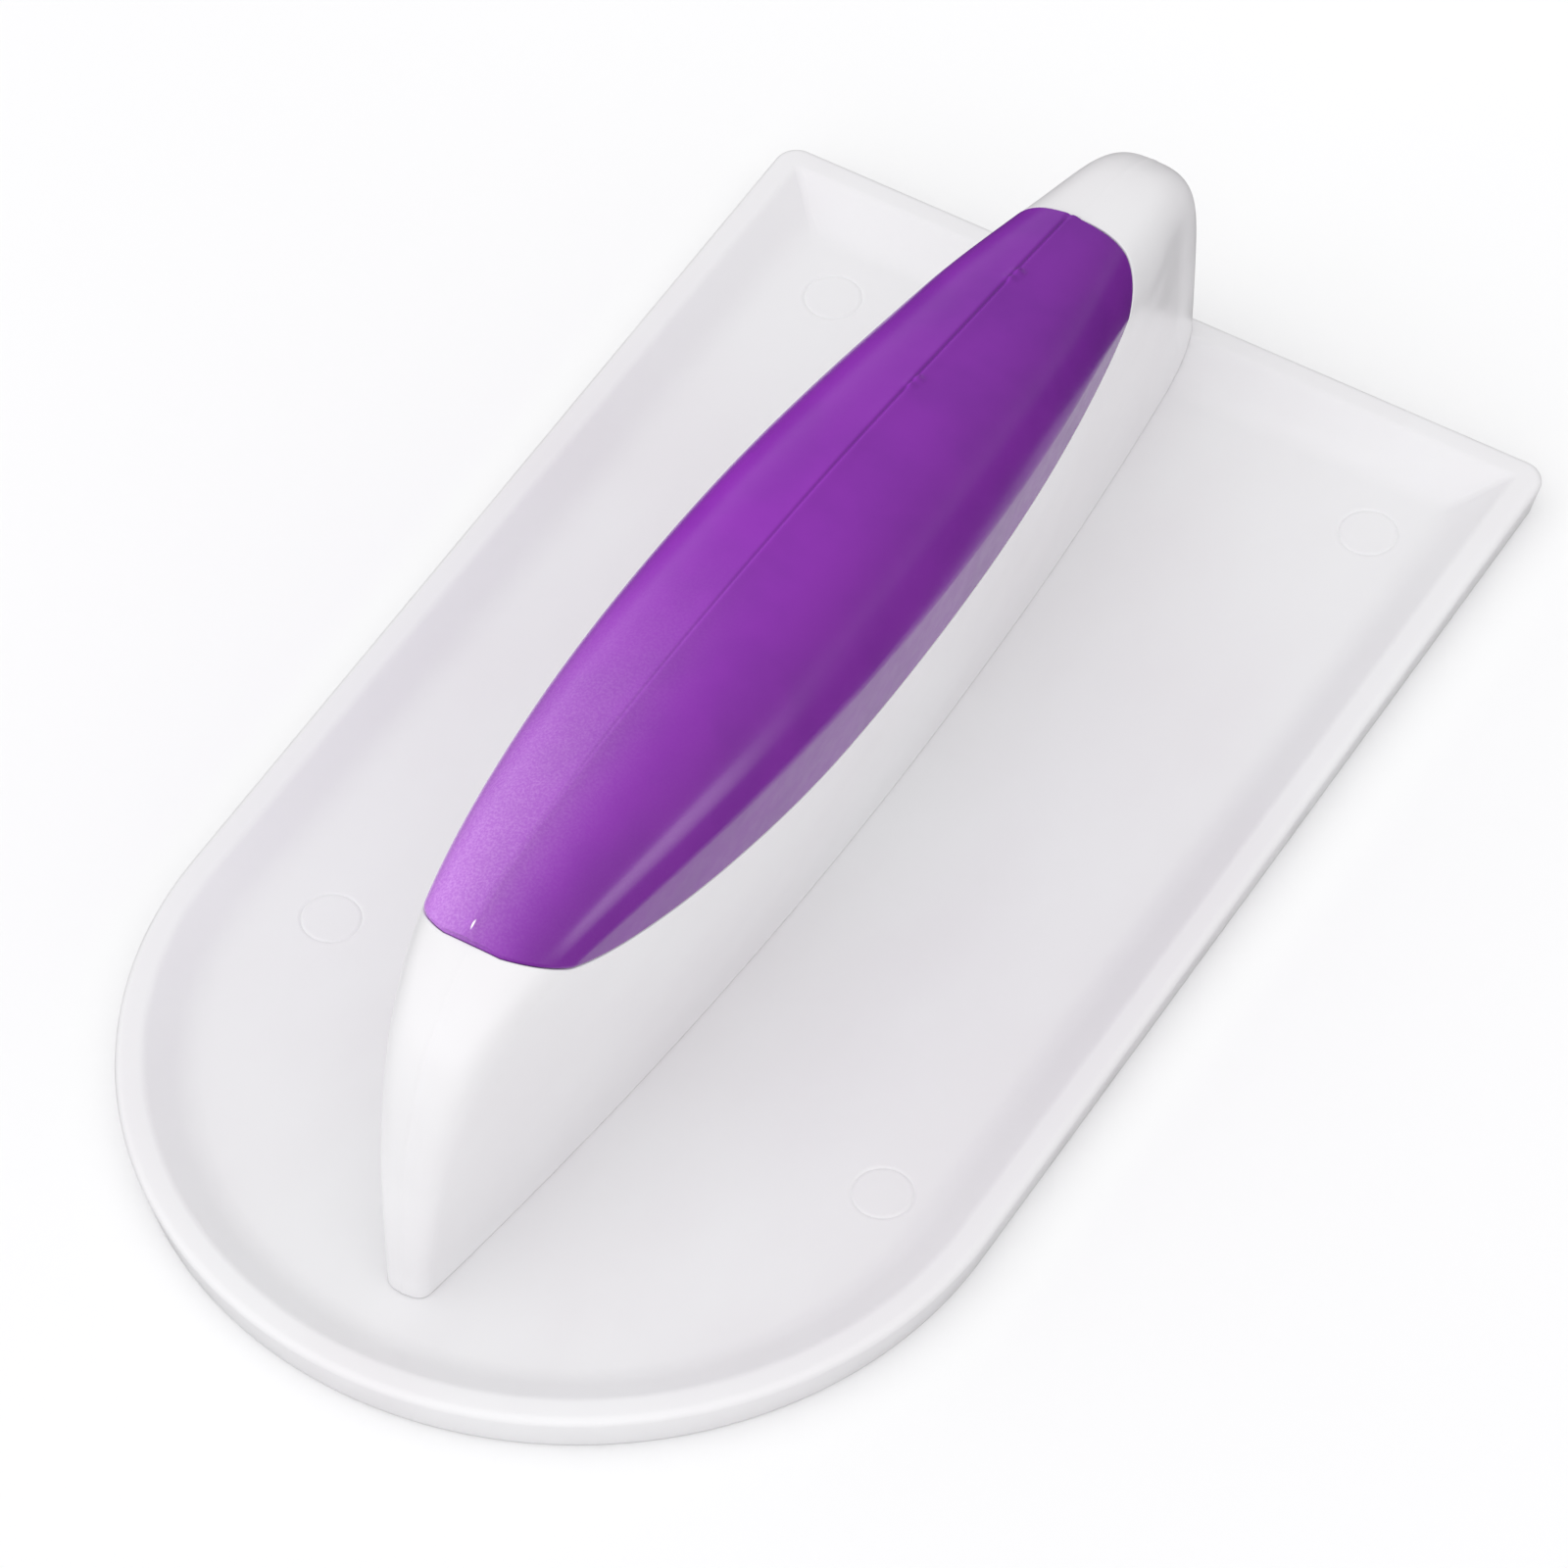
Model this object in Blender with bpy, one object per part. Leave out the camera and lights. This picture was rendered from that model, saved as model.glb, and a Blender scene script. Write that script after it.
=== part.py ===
"""Cake-icing smoother: a rimmed sole plate, a hollow handle shell and a soft grip cover.

Frame: metres, +Z up. The origin is the centre of the flat sole. The straight rear edge of the
plate faces +Y, its round front faces -Y, and the whole tool is symmetric about the plane x = 0.
"""

import math

import bmesh
import bpy
import numpy as np

# Clearance between pieces that touch.
GAP = 0.0003

# Sole plate.
PLATE_LENGTH = 0.150
PLATE_WIDTH = 0.0852
RIM_HEIGHT = 0.0047
FLOOR_Z = 0.0020
RIM_LAND = 0.0026
OUTER_DRAFT = 0.0008
SOLE_EDGE = 0.0004
REAR_CORNER_RADIUS = 0.0024
RIM_SLOPE_DEGREES = 34.0
FLOOR_FILLET_RUN = 0.0024
FILLET_STEPS = 4
FRONT_ARC_STEPS = 56
CORNER_STEPS = 5

# Ejector-pin marks on the floor of the plate.
PIN_MARK_RADIUS = 0.0032
PIN_MARK_HEIGHT = 0.00012
PIN_MARKS = [(0.0293, 0.0612), (-0.0293, 0.0612), (0.0307, -0.0308), (-0.0307, -0.0308)]

# Side profile of the handle (y, z): up the nose, over the top and down the rear.
# Both ends run below the floor, where the foot cut trims them.
BELOW_FLOOR_Z = -0.004
HANDLE_REAR_Y = 0.0748
HANDLE_PROFILE = [
    (-0.0630, BELOW_FLOOR_Z),
    (-0.0630, 0.0060),
    (-0.0616, 0.0200),
    (-0.0565, 0.0322),
    (-0.0455, 0.0390),
    (-0.0220, 0.0410),
    (0.0100, 0.0394),
    (0.0400, 0.0355),
    (0.0580, 0.0327),
    (0.0680, 0.0302),
    (0.0733, 0.0250),
    (HANDLE_REAR_Y, 0.0160),
    (HANDLE_REAR_Y, BELOW_FLOOR_Z),
]

# Half-width of the handle in plan: widest point, its y, and the spans towards front and rear.
SHOULDER_PLAN = dict(width=0.0129, y=0.007, front=0.083, rear=0.079)
FOOT_PLAN = dict(width=0.0076, y=0.014, front=0.090, rear=0.090)
SHOULDER_Z = 0.036
CAP_DEPTH_RATIO = 0.62
CAP_SWEEP = math.radians(71.0)
REAR_DEPTH_RATIO = 1.6
REAR_ROUNDING_LENGTH = 0.040
CAP_EXPONENT = 3.0

# Mesh density of the handle and of the grip.
HANDLE_STATIONS = 52
CAP_STEPS = 9
WALL_STEPS = 4

# Soft grip cover: y of its ends and of its deepest place, and how far it reaches down each side.
GRIP_FRONT_Y = -0.0500
GRIP_REAR_Y = 0.0568
GRIP_DEEPEST_Y = -0.0044
GRIP_REACH = 0.0260
GRIP_TAPER = 1.6
GRIP_FRONT_BLUNTNESS = 2.2
GRIP_REAR_BLUNTNESS = 3.3
GRIP_FLAT_END = 0.995
GRIP_THICKNESS = 0.0018
GRIP_ROWS = 34
GRIP_COLUMNS = 22

# Hollow of the handle shell.
SHELL_WALL = 0.0020
ROOF_THICKNESS = 0.0055
CAVITY_FRONT_Y = -0.044
CAVITY_REAR_Y = 0.068
CAVITY_STATIONS = 24
CAVITY_DRAFT = 0.94

# Locating rib on the plate, inside the handle's foot.
RIB_HEIGHT = 0.0030
RIB_THICKNESS = 0.0012

# Press pegs on the plate, and the bosses in the shell that they enter.
PEG_PLACES = [-0.020, 0.045]
PEG_RADIUS = 0.0013
PEG_TOP_Z = 0.014
BOSS_RADIUS = 0.0032
BOSS_BOTTOM_Z = 0.0065
BOSS_HOLE_TOP_Z = 0.0160
ROUND_SEGMENTS = 20


# Scene and mesh helpers -------------------------------------------------------------------------

def clear_scene():
    for obj in list(bpy.data.objects):
        bpy.data.objects.remove(obj, do_unlink=True)


def make_material(name, color, roughness):
    material = bpy.data.materials.new(name)
    material.use_nodes = True
    shader = material.node_tree.nodes["Principled BSDF"]
    shader.inputs["Base Color"].default_value = (*color, 1.0)
    shader.inputs["Roughness"].default_value = roughness
    shader.inputs["Metallic"].default_value = 0.0
    return material


def object_from_bmesh(name, bm, material=None):
    bmesh.ops.remove_doubles(bm, verts=bm.verts, dist=0.000002)
    bmesh.ops.recalc_face_normals(bm, faces=bm.faces)
    mesh = bpy.data.meshes.new(name)
    bm.to_mesh(mesh)
    bm.free()
    obj = bpy.data.objects.new(name, mesh)
    bpy.context.scene.collection.objects.link(obj)
    if material is not None:
        mesh.materials.append(material)
    return obj


def hide_cutter(obj):
    obj.hide_render = True
    obj.display_type = "WIRE"


def add_boolean(target, tool, operation):
    modifier = target.modifiers.new(operation.title() + "_" + tool.name, "BOOLEAN")
    modifier.operation = operation
    modifier.solver = "EXACT"
    modifier.object = tool
    hide_cutter(tool)


def shade_round(obj, angle_degrees):
    obj.data.shade_smooth()
    obj.data.set_sharp_from_angle(angle=math.radians(angle_degrees))


def loft_rings(bm, rings, closed_rings=True):
    """Bridge equal rings of points with quads, and return the rings' vertices."""
    vertex_rings = [[bm.verts.new(point) for point in ring] for ring in rings]
    count = len(vertex_rings[0])
    last = count if closed_rings else count - 1
    for lower, upper in zip(vertex_rings, vertex_rings[1:]):
        for i in range(last):
            j = (i + 1) % count
            bm.faces.new((lower[i], lower[j], upper[j], upper[i]))
    return vertex_rings


def capped_loft(name, rings, material=None):
    """A closed solid through the rings, with a flat cap on the first and last one."""
    bm = bmesh.new()
    vertex_rings = loft_rings(bm, rings)
    bm.faces.new(vertex_rings[0])
    bm.faces.new(vertex_rings[-1])
    return object_from_bmesh(name, bm, material)


def upright_cylinder(name, x, y, radius, bottom, top):
    rings = []
    for z in (bottom, top):
        angles = [2.0 * math.pi * i / ROUND_SEGMENTS for i in range(ROUND_SEGMENTS)]
        rings.append([(x + radius * math.cos(a), y + radius * math.sin(a), z) for a in angles])
    return capped_loft(name, rings)


# Plate ------------------------------------------------------------------------------------------

def plate_outline(inset, z):
    """The plate's outline moved inwards: a half-round front and a straight rear edge."""
    half_width = PLATE_WIDTH / 2.0 - inset
    front_centre_y = -PLATE_LENGTH / 2.0 + PLATE_WIDTH / 2.0
    rear_y = PLATE_LENGTH / 2.0 - inset
    radius = max(REAR_CORNER_RADIUS - inset, REAR_CORNER_RADIUS / 4.0)
    points = []
    for side, first_angle in ((1.0, 0.0), (-1.0, 90.0)):
        for i in range(CORNER_STEPS + 1):
            angle = math.radians(first_angle + 90.0 * i / CORNER_STEPS)
            x = side * (half_width - radius) + radius * math.cos(angle)
            points.append((x, rear_y - radius + radius * math.sin(angle), z))
    for i in range(FRONT_ARC_STEPS + 1):
        angle = math.pi + math.pi * i / FRONT_ARC_STEPS
        x = half_width * math.cos(angle)
        points.append((x, front_centre_y + half_width * math.sin(angle), z))
    return points


def rim_slope_profile():
    """Inner side of the rim as (inset, z): a sloping wall that a fillet blends into the floor."""
    slope = math.tan(math.radians(RIM_SLOPE_DEGREES))
    fillet_drop = slope * FLOOR_FILLET_RUN / 2.0
    straight_run = (RIM_HEIGHT - FLOOR_Z - fillet_drop) / slope
    profile = [(RIM_LAND, RIM_HEIGHT)]
    for i in range(FILLET_STEPS + 1):
        u = i / FILLET_STEPS
        inset = RIM_LAND + straight_run + FLOOR_FILLET_RUN * u
        profile.append((inset, FLOOR_Z + fillet_drop * (1.0 - u) ** 2))
    return profile


def build_plate(material):
    rings = [
        plate_outline(OUTER_DRAFT + SOLE_EDGE, 0.0),
        plate_outline(OUTER_DRAFT, SOLE_EDGE),
        plate_outline(0.0, RIM_HEIGHT - SOLE_EDGE / 2.0),
        plate_outline(SOLE_EDGE / 2.0, RIM_HEIGHT),
    ]
    rings += [plate_outline(inset, z) for inset, z in rim_slope_profile()]
    plate = capped_loft("base_plate", rings, material)
    for index, (x, y) in enumerate(PIN_MARKS):
        top = FLOOR_Z + PIN_MARK_HEIGHT
        mark = upright_cylinder(f"pin_mark_{index + 1}", x, y, PIN_MARK_RADIUS, FLOOR_Z / 2.0, top)
        add_boolean(plate, mark, "UNION")
    add_boolean(plate, build_locating_rib(), "UNION")
    for index, y in enumerate(PEG_PLACES):
        peg = upright_cylinder(f"peg_{index + 1}", 0.0, y, PEG_RADIUS, FLOOR_Z / 2.0, PEG_TOP_Z)
        add_boolean(plate, peg, "UNION")
    shade_round(plate, 35.0)
    return plate


# Handle surface ---------------------------------------------------------------------------------

def smooth_profile(points, steps=24):
    """A Catmull-Rom curve through the points, as an array of (y, z) samples."""
    controls = [points[0]] + list(points) + [points[-1]]
    samples = []
    for p0, p1, p2, p3 in zip(controls, controls[1:], controls[2:], controls[3:]):
        p0, p1, p2, p3 = (np.array(p) for p in (p0, p1, p2, p3))
        for i in range(steps):
            t = i / steps
            linear = (p2 - p0) * t
            square = (2.0 * p0 - 5.0 * p1 + 4.0 * p2 - p3) * t ** 2
            cube = (3.0 * p1 - p0 - 3.0 * p2 + p3) * t ** 3
            samples.append(0.5 * (2.0 * p1 + linear + square + cube))
    samples.append(np.array(points[-1]))
    return np.array(samples)


PROFILE = smooth_profile(HANDLE_PROFILE)
PROFILE_LENGTHS = np.concatenate(
    ([0.0], np.cumsum(np.linalg.norm(np.diff(PROFILE, axis=0), axis=1))))
PROFILE_TOTAL = PROFILE_LENGTHS[-1]


def profile_point(distance):
    y = np.interp(distance, PROFILE_LENGTHS, PROFILE[:, 0])
    z = np.interp(distance, PROFILE_LENGTHS, PROFILE[:, 1])
    return y, z


def profile_normal(distance):
    """Unit normal of the profile, pointing into the handle."""
    step = 0.0015
    y0, z0 = profile_point(max(distance - step, 0.0))
    y1, z1 = profile_point(min(distance + step, PROFILE_TOTAL))
    length = math.hypot(y1 - y0, z1 - z0)
    return (z1 - z0) / length, -(y1 - y0) / length


def distance_at_y(y):
    """Distance along the profile at which its top side passes a given y."""
    top = PROFILE[:, 1] > 0.5 * SHOULDER_Z
    return float(np.interp(y, PROFILE[top, 0], PROFILE_LENGTHS[top]))


def plan_half_width(plan, y):
    span = plan["front"] if y < plan["y"] else plan["rear"]
    return plan["width"] * (1.0 - ((y - plan["y"]) / span) ** 2)


def wall_half_width(y, z):
    """Half-width of the handle at a height, from its narrow foot up to its wide shoulder."""
    foot = plan_half_width(FOOT_PLAN, y)
    shoulder = plan_half_width(SHOULDER_PLAN, y)
    rise = min(max((z - FLOOR_Z) / (SHOULDER_Z - FLOOR_Z), 0.0), 1.0)
    return foot + (shoulder - foot) * rise


def rear_blend(distance):
    """0 along the handle, rising to 1 over its rounded rear end."""
    start = distance_at_y(HANDLE_REAR_Y) - REAR_ROUNDING_LENGTH
    blend = min(max((distance - start) / REAR_ROUNDING_LENGTH, 0.0), 1.0)
    return blend * blend * (3.0 - 2.0 * blend)


def cap_depth(distance):
    """Depth of the rounded cap, which grows into the round rear end of the handle."""
    y, z = profile_point(distance)
    ratio = CAP_DEPTH_RATIO + (REAR_DEPTH_RATIO - CAP_DEPTH_RATIO) * rear_blend(distance)
    return ratio * wall_half_width(y, z)


def handle_point(distance, section):
    """A point of the handle's outer surface.

    distance runs along the side profile. section runs down the side: 0 is the ridge, 1 the end
    of the rounded cap and 2 the bottom edge. A negative section is the left side. The cap stops
    short of upright, so that it meets the wall in a crease, except round the rear end.
    """
    y, z = profile_point(distance)
    normal_y, normal_z = profile_normal(distance)
    depth = cap_depth(distance)
    shoulder_y = y + depth * normal_y
    shoulder_z = z + depth * normal_z
    amount = abs(section)
    if amount <= 1.0:
        sweep = CAP_SWEEP + (math.pi / 2.0 - CAP_SWEEP) * rear_blend(distance)
        angle = amount * sweep
        power = 2.0 / CAP_EXPONENT
        across = (math.sin(angle) / math.sin(sweep)) ** power
        end_drop = 1.0 - max(math.cos(sweep), 0.0) ** power
        sink = depth * (1.0 - max(math.cos(angle), 0.0) ** power) / end_drop
        y += sink * normal_y
        z += sink * normal_z
        half_width = wall_half_width(shoulder_y, shoulder_z) * across
    else:
        down = amount - 1.0
        foot_y = foot_line_y(distance)
        y = shoulder_y + (foot_y - shoulder_y) * down
        z = shoulder_z + (BELOW_FLOOR_Z - shoulder_z) * down
        half_width = wall_half_width(y, z)
    return np.array((math.copysign(half_width, section) if section else 0.0, y, z))


def foot_line_y(distance):
    """Where the wall below a profile distance reaches the bottom."""
    ends = []
    for end, direction in ((0.0, 1.0), (PROFILE_TOTAL, -1.0)):
        ends.append(profile_point(end)[0] + direction * cap_depth(end))
    return ends[0] + (ends[1] - ends[0]) * distance / PROFILE_TOTAL


def handle_normal(distance, section):
    """Outward unit normal of the handle's surface, by small steps along and across it."""
    step = 0.0004
    low = max(distance - step, 0.0)
    high = min(distance + step, PROFILE_TOTAL)
    along = handle_point(high, section) - handle_point(low, section)
    across = handle_point(distance, section + 0.02) - handle_point(distance, section - 0.02)
    normal = np.cross(across, along)
    return normal / np.linalg.norm(normal)


def section_values():
    cap = [i / CAP_STEPS for i in range(CAP_STEPS + 1)]
    wall = [1.0 + i / WALL_STEPS for i in range(1, WALL_STEPS + 1)]
    right = cap + wall
    return [-value for value in reversed(right[1:])] + right


def build_handle_blank(material):
    """The handle as a solid that still runs below the floor of the plate."""
    bm = bmesh.new()
    rings = []
    for i in range(HANDLE_STATIONS + 1):
        distance = PROFILE_TOTAL * i / HANDLE_STATIONS
        rings.append([handle_point(distance, s) for s in section_values()])
    loft_rings(bm, rings, closed_rings=False)
    bmesh.ops.remove_doubles(bm, verts=bm.verts, dist=0.000002)
    bmesh.ops.dissolve_degenerate(bm, dist=0.000002, edges=bm.edges)
    bmesh.ops.holes_fill(bm, edges=[edge for edge in bm.edges if edge.is_boundary], sides=0)
    return object_from_bmesh("handle_shell", bm, material)


# Cutters for the handle -------------------------------------------------------------------------

def build_foot_cutter():
    """Takes away all that lies under the handle: the floor, the rear slope and the rear rim."""
    reach = 0.02
    outline = [(-PLATE_LENGTH / 2.0, 3.0 * BELOW_FLOOR_Z), (-PLATE_LENGTH / 2.0, FLOOR_Z + GAP)]
    for inset, z in reversed(rim_slope_profile()):
        outline.append((PLATE_LENGTH / 2.0 - inset - GAP, z + GAP))
    outline.append((PLATE_LENGTH / 2.0 + GAP, RIM_HEIGHT + GAP))
    outline.append((PLATE_LENGTH / 2.0 + GAP, 3.0 * BELOW_FLOOR_Z))
    rings = [[(x, y, z) for y, z in outline] for x in (-reach, reach)]
    return capped_loft("foot_cutter", rings)


def cavity_half_width(y):
    middle = (CAVITY_FRONT_Y + CAVITY_REAR_Y) / 2.0
    q = abs(y - middle) / ((CAVITY_REAR_Y - CAVITY_FRONT_Y) / 2.0)
    end_rounding = math.sqrt(max(1.0 - q ** 8, 0.02))
    return (plan_half_width(FOOT_PLAN, y) - SHELL_WALL) * end_rounding


def cavity_stations():
    """Places along the hollow, closer together at its round ends."""
    values = []
    for i in range(CAVITY_STATIONS + 1):
        u = 0.5 - 0.5 * math.cos(math.pi * i / CAVITY_STATIONS)
        values.append(CAVITY_FRONT_Y + (CAVITY_REAR_Y - CAVITY_FRONT_Y) * u)
    return values


def roof_z(y):
    return profile_point(distance_at_y(y))[1] - ROOF_THICKNESS


def build_cavity_cutter():
    rings = []
    for y in cavity_stations():
        x = cavity_half_width(y)
        top = roof_z(y)
        x_top = x * CAVITY_DRAFT
        rings.append([(-x, y, BELOW_FLOOR_Z), (x, y, BELOW_FLOOR_Z), (x_top, y, top), (-x_top, y, top)])
    return capped_loft("cavity_cutter", rings)


def grip_reach(q):
    """How far the grip reaches down each side; q is -1 at its front and 1 at its rear."""
    bluntness = GRIP_FRONT_BLUNTNESS if q < 0.0 else GRIP_REAR_BLUNTNESS
    return GRIP_REACH * (1.0 - abs(GRIP_FLAT_END * q) ** GRIP_TAPER) ** (1.0 / bluntness)


def section_at_reach(distance, reach):
    """The section value that lies a given length down the side from the ridge."""
    sections = np.linspace(0.0, 1.8, 73)
    points = np.array([handle_point(distance, section) for section in sections])
    steps = np.linalg.norm(np.diff(points, axis=0), axis=1)
    return float(np.interp(reach, np.concatenate(([0.0], np.cumsum(steps))), sections))


def build_grip_solid(name, outside, inside, margin, material=None):
    """A skin on the grip's part of the handle surface, between two offsets from it."""
    front = distance_at_y(GRIP_FRONT_Y) - margin
    rear = distance_at_y(GRIP_REAR_Y) + margin
    deepest = distance_at_y(GRIP_DEEPEST_Y)
    outer = []
    inner = []
    for row in range(GRIP_ROWS + 1):
        distance = front + (rear - front) * (0.5 - 0.5 * math.cos(math.pi * row / GRIP_ROWS))
        q = (distance - deepest) / ((deepest - front) if distance < deepest else (rear - deepest))
        half = section_at_reach(distance, grip_reach(q) + margin)
        outer_row = []
        inner_row = []
        for column in range(GRIP_COLUMNS + 1):
            section = half * (2.0 * column / GRIP_COLUMNS - 1.0)
            point = handle_point(distance, section)
            normal = handle_normal(distance, section)
            outer_row.append(point + normal * outside)
            inner_row.append(point - normal * inside)
        outer.append(outer_row)
        inner.append(inner_row)
    rings = [outer_row + inner_row[::-1] for outer_row, inner_row in zip(outer, inner)]
    bm = bmesh.new()
    vertex_rings = loft_rings(bm, rings)
    count = GRIP_COLUMNS + 1
    for ring in (vertex_rings[0], vertex_rings[-1]):
        for i in range(count - 1):
            bm.faces.new((ring[i], ring[i + 1], ring[2 * count - 2 - i], ring[2 * count - 1 - i]))
    return object_from_bmesh(name, bm, material)


# Parts ------------------------------------------------------------------------------------------

def build_locating_rib():
    """A low ring wall that fits inside the handle's foot."""
    outer = []
    inner = []
    for y in cavity_stations():
        half_width = cavity_half_width(y) - GAP
        middle = (CAVITY_FRONT_Y + CAVITY_REAR_Y) / 2.0
        shrink = 1.0 - GAP / (CAVITY_REAR_Y - middle)
        outer.append((half_width, middle + (y - middle) * shrink))
        inset_shrink = 1.0 - (GAP + RIB_THICKNESS) / (CAVITY_REAR_Y - middle)
        inner_half = max(half_width - RIB_THICKNESS, 0.0002)
        inner.append((inner_half, middle + (y - middle) * inset_shrink))

    def ring(side_points, z):
        right = [(x, y, z) for x, y in side_points]
        left = [(-x, y, z) for x, y in reversed(side_points)]
        return right + left

    bottom = FLOOR_Z / 2.0
    top = FLOOR_Z + RIB_HEIGHT
    rings = [ring(outer, bottom), ring(outer, top), ring(inner, top), ring(inner, bottom)]
    bm = bmesh.new()
    loft_rings(bm, rings + [rings[0]])
    return object_from_bmesh("locating_rib", bm)


def build_handle_shell(material):
    shell = build_handle_blank(material)
    add_boolean(shell, build_cavity_cutter(), "DIFFERENCE")
    for index, y in enumerate(PEG_PLACES):
        top = roof_z(y) + GAP
        boss = upright_cylinder(f"boss_{index + 1}", 0.0, y, BOSS_RADIUS, BOSS_BOTTOM_Z, top)
        add_boolean(shell, boss, "UNION")
        hole = upright_cylinder(
            f"boss_hole_{index + 1}", 0.0, y, PEG_RADIUS + GAP, BELOW_FLOOR_Z, BOSS_HOLE_TOP_Z)
        add_boolean(shell, hole, "DIFFERENCE")
    add_boolean(shell, build_foot_cutter(), "DIFFERENCE")
    recess = build_grip_solid("grip_recess", 3.0 * GAP, GRIP_THICKNESS + GAP, GAP)
    add_boolean(shell, recess, "DIFFERENCE")
    shade_round(shell, 35.0)
    return shell


def build_grip_cover(material):
    grip = build_grip_solid("grip_cover", 0.0, GRIP_THICKNESS, 0.0, material)
    shade_round(grip, 50.0)
    return grip


def main():
    clear_scene()
    white = make_material("white_polypropylene", (0.86, 0.86, 0.87), 0.42)
    purple = make_material("purple_soft_touch", (0.20, 0.035, 0.36), 0.55)
    build_plate(white)
    build_handle_shell(white)
    build_grip_cover(purple)


main()
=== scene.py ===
"""Looks of a cake-icing smoother: a rimmed white plate, a white handle and a purple soft grip.

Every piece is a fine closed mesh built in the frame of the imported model, in metres, +Z up.
"""

import math

import bmesh
import bpy
import numpy as np
from mathutils import Matrix, Vector


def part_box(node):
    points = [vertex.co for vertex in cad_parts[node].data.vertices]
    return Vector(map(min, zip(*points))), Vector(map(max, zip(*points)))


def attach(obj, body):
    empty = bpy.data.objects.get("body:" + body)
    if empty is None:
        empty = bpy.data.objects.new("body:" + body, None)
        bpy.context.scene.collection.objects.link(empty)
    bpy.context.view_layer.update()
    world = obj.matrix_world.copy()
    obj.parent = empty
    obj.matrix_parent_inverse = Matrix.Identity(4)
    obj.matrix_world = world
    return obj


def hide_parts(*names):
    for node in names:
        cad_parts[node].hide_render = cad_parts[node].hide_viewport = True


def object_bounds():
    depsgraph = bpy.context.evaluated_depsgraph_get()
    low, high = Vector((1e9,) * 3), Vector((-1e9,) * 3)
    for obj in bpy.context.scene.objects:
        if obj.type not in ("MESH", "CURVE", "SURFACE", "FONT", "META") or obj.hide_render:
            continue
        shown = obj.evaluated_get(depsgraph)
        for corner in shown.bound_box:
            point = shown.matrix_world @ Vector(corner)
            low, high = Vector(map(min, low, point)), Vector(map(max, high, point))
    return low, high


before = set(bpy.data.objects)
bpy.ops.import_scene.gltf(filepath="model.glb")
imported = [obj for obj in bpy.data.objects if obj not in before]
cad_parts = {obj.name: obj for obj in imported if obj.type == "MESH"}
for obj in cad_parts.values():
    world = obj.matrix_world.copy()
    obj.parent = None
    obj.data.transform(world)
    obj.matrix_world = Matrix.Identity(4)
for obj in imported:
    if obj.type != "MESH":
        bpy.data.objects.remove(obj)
cad_low, cad_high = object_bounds()

MM = 0.001

# Outer sizes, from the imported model.
plate_low, plate_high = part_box("base_plate")
handle_low, handle_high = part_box("handle_shell")
PLATE_HALF_WIDTH = plate_high.x
PLATE_FRONT_Y = plate_low.y
PLATE_REAR_Y = plate_high.y
HANDLE_FRONT_Y = handle_low.y
HANDLE_REAR_Y = handle_high.y
HANDLE_LENGTH = HANDLE_REAR_Y - HANDLE_FRONT_Y
HANDLE_TOP_Z = cad_high.z

# Plate, in cross-section.
RIM_HEIGHT = 4.7 * MM
FLOOR_Z = 2.0 * MM
RIM_LAND = 2.6 * MM
RIM_SLOPE = math.tan(math.radians(34.0))
FLOOR_FILLET_RUN = 3.0 * MM
OUTER_DRAFT = 0.8 * MM
SOLE_ROUNDING = 0.4 * MM
OUTER_ROUNDING = 0.8 * MM
INNER_ROUNDING = 0.8 * MM
REAR_CORNER_RADIUS = 2.4 * MM

# Ejector-pin marks on the floor: fine round grooves, not quite symmetric.
PIN_MARKS = [
    (30.4 * MM, 61.0 * MM), (-29.2 * MM, 61.2 * MM), (31.0 * MM, -31.4 * MM), (-28.9 * MM, -30.0 * MM)]
PIN_MARK_RADIUS = 2.85 * MM
PIN_GROOVE_WIDTH = 0.34 * MM
PIN_GROOVE_DEPTH = 0.09 * MM

# Joints between the pieces. The cutter of the foot reaches past the handle on every side.
FOOT_CUTTER_REACH = 20.0 * MM
FOOT_CUTTER_MARGIN = 1.0 * MM
FOOT_GAP = 0.08 * MM
GRIP_GAP = 0.04 * MM

# Side profile of the handle: control points in shares of its length and of its height.
PROFILE_SHARES = [
    (0.0, 0.146), (0.010, 0.488), (0.047, 0.785), (0.127, 0.951), (0.2975, 1.0), (0.530, 0.961),
    (0.747, 0.866), (0.878, 0.7975), (0.951, 0.7365), (0.989, 0.61), (1.0, 0.39)]
PROFILE_SMOOTHING = 1.2 * MM
PROFILE_SPACING = 0.2 * MM
BELOW_FLOOR_Z = -4.0 * MM

# Half-width of the handle in plan: widest point, its y, and the spans towards front and rear.
SHOULDER_PLAN = dict(width=12.9 * MM, y=7.0 * MM, front=83.0 * MM, rear=79.0 * MM)
FOOT_PLAN = dict(width=7.6 * MM, y=14.0 * MM, front=90.0 * MM, rear=90.0 * MM)
SHOULDER_Z = 36.0 * MM
CAP_DEPTH_RATIO = 0.62
CAP_SWEEP = math.radians(71.0)
REAR_DEPTH_RATIO = 1.6
REAR_ROUNDING_LENGTH = 40.0 * MM
CAP_EXPONENT = 3.0

# Soft grip: its ends and deepest place, how far it reaches down each side, and its skin.
GRIP_FRONT_Y = -50.0 * MM
GRIP_REAR_Y = 56.8 * MM
GRIP_DEEPEST_Y = -4.4 * MM
GRIP_REACH = 25.8 * MM
GRIP_TAPER = 1.6
GRIP_TURN = 0.15
GRIP_FRONT_BLUNTNESS = 2.2
GRIP_REAR_BLUNTNESS = 3.3
GRIP_FLAT_END = 0.995
GRIP_THICKNESS = 1.8 * MM
GRIP_EDGE_ROUNDING = 0.35 * MM
RECESS_EDGE_ROUNDING = 0.15 * MM
CUTTER_RISE = 0.8 * MM

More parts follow.
